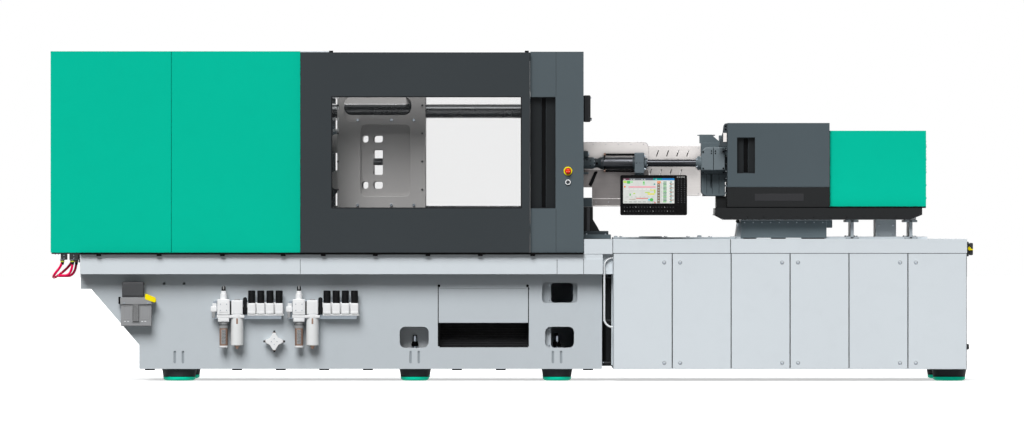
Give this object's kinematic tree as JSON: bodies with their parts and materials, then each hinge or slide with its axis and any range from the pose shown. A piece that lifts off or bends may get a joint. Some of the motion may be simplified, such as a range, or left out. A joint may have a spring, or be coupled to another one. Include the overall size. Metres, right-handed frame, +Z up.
{
  "type": "injection moulding machine",
  "caption": "Horizontal injection moulding machine with a toggle clamp under sliding gates, an injection unit on a carriage and an electrical cabinet.",
  "frame": {"origin": "on the floor, in the middle of the machine's length and width", "axes": "+X from the clamp to the injection side, -Y towards the operator, +Z up"},
  "size_m": [6.546, 1.85, 2.344],
  "materials": {
    "green_paint": "satin powder coat",
    "gate_paint": "satin powder coat",
    "pillar_paint": "satin powder coat",
    "light_paint": "satin powder coat",
    "bed_paint": "satin powder coat",
    "cover_paint": "satin powder coat",
    "dark_paint": "matt powder coat",
    "casting_paint": "painted casting",
    "ground_steel": "ground",
    "hard_chrome": "polished",
    "stainless_sheet": "brushed sheet",
    "black_plastic": "matt",
    "white_plastic": "gloss",
    "clear_window": "clear",
    "foot_rubber": "matt",
    "red_hose": "smooth",
    "red_plastic": "gloss",
    "yellow_plastic": "gloss",
    "handle_white": "gloss enamel"
  },
  "bodies": {
    "machine": {"bed_frame": "bed_paint", "bed_aprons": "light_paint", "gate_rails": "dark_paint", "clamp_cover_left": "green_paint", "clamp_cover_right": "green_paint", "pillar_cover": "pillar_paint", "tie_bars": "hard_chrome", "fixed_platen": "casting_paint", "tail_platen": "casting_paint", "clamp_motor": "dark_paint", "guide_rails": "ground_steel", "foot_housings": "cover_paint", "foot_pads": "foot_rubber", "cabinet_frame": "light_paint", "cabinet_deck": "light_paint", "switchgear": "light_paint", "cabinet_handle": "handle_white", "carriage_cylinders": "cover_paint", "barrel_guard": "stainless_sheet", "robot_socket": "casting_paint", "air_units": "white_plastic", "connector_boxes": "black_plastic", "coolant_block": "dark_paint", "coolant_hose_1": "red_hose", "coolant_hose_2": "red_hose"},
    "front_gate": {"front_gate": "gate_paint", "front_gate_window": "clear_window"},
    "rear_gate": {"rear_gate": "gate_paint", "rear_gate_window": "clear_window"},
    "upper_rear_link": {"upper_rear_link": "casting_paint"},
    "upper_front_link": {"upper_front_link": "casting_paint"},
    "moving_platen": {"moving_platen": "casting_paint"},
    "upper_drive_link": {"upper_drive_link": "casting_paint"},
    "crosshead": {"crosshead": "casting_paint", "clamp_spindle": "ground_steel"},
    "lower_rear_link": {"lower_rear_link": "casting_paint"},
    "lower_front_link": {"lower_front_link": "casting_paint"},
    "lower_drive_link": {"lower_drive_link": "casting_paint"},
    "ejector": {"ejector": "ground_steel"},
    "carriage": {"carriage_base": "dark_paint", "injection_cover": "cover_paint", "motor_cover": "green_paint", "feed_housing": "cover_paint", "barrel": "ground_steel", "nozzle": "ground_steel", "sliding_guard": "stainless_sheet", "cylinder_rods": "hard_chrome"},
    "injection_drive": {"injection_drive": "casting_paint"},
    "plasticising_screw": {"plasticising_screw": "hard_chrome"},
    "panel_arm": {"panel_arm": "dark_paint"},
    "control_panel": {"control_panel": "black_plastic"},
    "estop_button": {"estop_button": "red_plastic"},
    "key_switch": {"key_switch": "ground_steel"},
    "robot_socket_lever": {"robot_socket_lever": "yellow_plastic"},
    "cabinet_door_1": {"cabinet_door_1": "light_paint"},
    "cabinet_door_2": {"cabinet_door_2": "light_paint"},
    "cabinet_door_3": {"cabinet_door_3": "light_paint"},
    "cabinet_door_4": {"cabinet_door_4": "light_paint"},
    "cabinet_door_5": {"cabinet_door_5": "light_paint"},
    "cabinet_door_6": {"cabinet_door_6": "light_paint"}
  },
  "joints": [
    {"name": "front_gate_slide", "type": "slide", "parent": "machine", "child": "front_gate", "axis": [-1, 0, 0], "range_m": [0, 1.4]},
    {"name": "rear_gate_slide", "type": "slide", "parent": "machine", "child": "rear_gate", "axis": [-1, 0, 0], "range_m": [0, 1.4]},
    {"name": "cabinet_door_1_hinge", "type": "hinge", "parent": "machine", "child": "cabinet_door_1", "pos_m": [0.72, -0.88, 0.4985], "axis": [0, 0, -1], "range_deg": [0, 85]},
    {"name": "cabinet_door_2_hinge", "type": "hinge", "parent": "machine", "child": "cabinet_door_2", "pos_m": [1.553, -0.88, 0.4985], "axis": [0, 0, 1], "range_deg": [0, 85]},
    {"name": "cabinet_door_3_hinge", "type": "hinge", "parent": "machine", "child": "cabinet_door_3", "pos_m": [1.556, -0.88, 0.4985], "axis": [0, 0, -1], "range_deg": [0, 85]},
    {"name": "cabinet_door_4_hinge", "type": "hinge", "parent": "machine", "child": "cabinet_door_4", "pos_m": [2.389, -0.88, 0.4985], "axis": [0, 0, 1], "range_deg": [0, 85]},
    {"name": "cabinet_door_5_hinge", "type": "hinge", "parent": "machine", "child": "cabinet_door_5", "pos_m": [2.392, -0.88, 0.4985], "axis": [0, 0, -1], "range_deg": [0, 85]},
    {"name": "cabinet_door_6_hinge", "type": "hinge", "parent": "machine", "child": "cabinet_door_6", "pos_m": [3.225, -0.88, 0.4985], "axis": [0, 0, 1], "range_deg": [0, 85]},
    {"name": "toggle", "type": "hinge", "parent": "machine", "child": "upper_rear_link", "pos_m": [-1.91723, 0, 1.69], "axis": [0, 1, 0], "range_deg": [-12, 44]},
    {"name": "upper_knee", "type": "hinge", "parent": "upper_rear_link", "child": "upper_front_link", "pos_m": [-1.57861, 0, 2.12341], "axis": [0, 1, 0], "range_deg": [-88, 24]},
    {"name": "platen_pivot", "type": "hinge", "parent": "upper_front_link", "child": "moving_platen", "pos_m": [-1.24, 0, 1.69], "axis": [0, 1, 0], "range_deg": [-12, 44]},
    {"name": "upper_crank", "type": "hinge", "parent": "upper_rear_link", "child": "upper_drive_link", "pos_m": [-1.79196, 0, 1.88289], "axis": [0, 1, 0], "range_deg": [-88, 24]},
    {"name": "crosshead_pivot", "type": "hinge", "parent": "upper_drive_link", "child": "crosshead", "pos_m": [-1.66669, 0, 1.69], "axis": [0, 1, 0], "range_deg": [-12, 44]},
    {"name": "lower_toggle", "type": "hinge", "parent": "machine", "child": "lower_rear_link", "pos_m": [-1.91723, 0, 1.43], "axis": [0, 1, 0], "range_deg": [-44, 12]},
    {"name": "lower_knee", "type": "hinge", "parent": "lower_rear_link", "child": "lower_front_link", "pos_m": [-1.57861, 0, 0.99659], "axis": [0, 1, 0], "range_deg": [-24, 88]},
    {"name": "lower_crank", "type": "hinge", "parent": "lower_rear_link", "child": "lower_drive_link", "pos_m": [-1.79196, 0, 1.23711], "axis": [0, 1, 0], "range_deg": [-24, 88]},
    {"name": "ejector_slide", "type": "slide", "parent": "moving_platen", "child": "ejector", "axis": [1, 0, 0], "range_m": [0, 0.15]},
    {"name": "carriage_slide", "type": "slide", "parent": "machine", "child": "carriage", "axis": [1, 0, 0], "range_m": [-0.2, 0.1]},
    {"name": "injection_slide", "type": "slide", "parent": "carriage", "child": "injection_drive", "axis": [-1, 0, 0], "range_m": [0, 0.22]},
    {"name": "screw_spin", "type": "hinge", "parent": "injection_drive", "child": "plasticising_screw", "pos_m": [1, 0, 1.56], "axis": [1, 0, 0], "continuous": true},
    {"name": "panel_arm_hinge", "type": "hinge", "parent": "machine", "child": "panel_arm", "pos_m": [0.909, -0.26, 1.46], "axis": [0, 0, 1], "range_deg": [-20, 25]},
    {"name": "control_panel_hinge", "type": "hinge", "parent": "panel_arm", "child": "control_panel", "pos_m": [1.005, -0.78, 1.402], "axis": [0, 0, 1], "range_deg": [-20, 20]},
    {"name": "estop_press", "type": "slide", "parent": "machine", "child": "estop_button", "axis": [0, 1, 0], "range_m": [0, 0.005], "stiffness_N_per_m": 2000, "springref_m": -0.002},
    {"name": "key_turn", "type": "hinge", "parent": "machine", "child": "key_switch", "pos_m": [0.397, -0.898, 1.411], "axis": [0, 1, 0], "range_deg": [0, 90]},
    {"name": "socket_lever_hinge", "type": "hinge", "parent": "machine", "child": "robot_socket_lever", "pos_m": [-2.54, -0.85, 0.572], "axis": [0, 1, 0], "range_deg": [0, 80]}
  ],
  "couplings": [
    {"joint": "upper_knee", "follows": "toggle", "ratio": -2},
    {"joint": "platen_pivot", "follows": "toggle", "ratio": 1},
    {"joint": "upper_crank", "follows": "toggle", "ratio": -2},
    {"joint": "crosshead_pivot", "follows": "toggle", "ratio": 1},
    {"joint": "lower_toggle", "follows": "toggle", "ratio": -1},
    {"joint": "lower_knee", "follows": "toggle", "ratio": 2},
    {"joint": "lower_crank", "follows": "toggle", "ratio": 2}
  ]
}
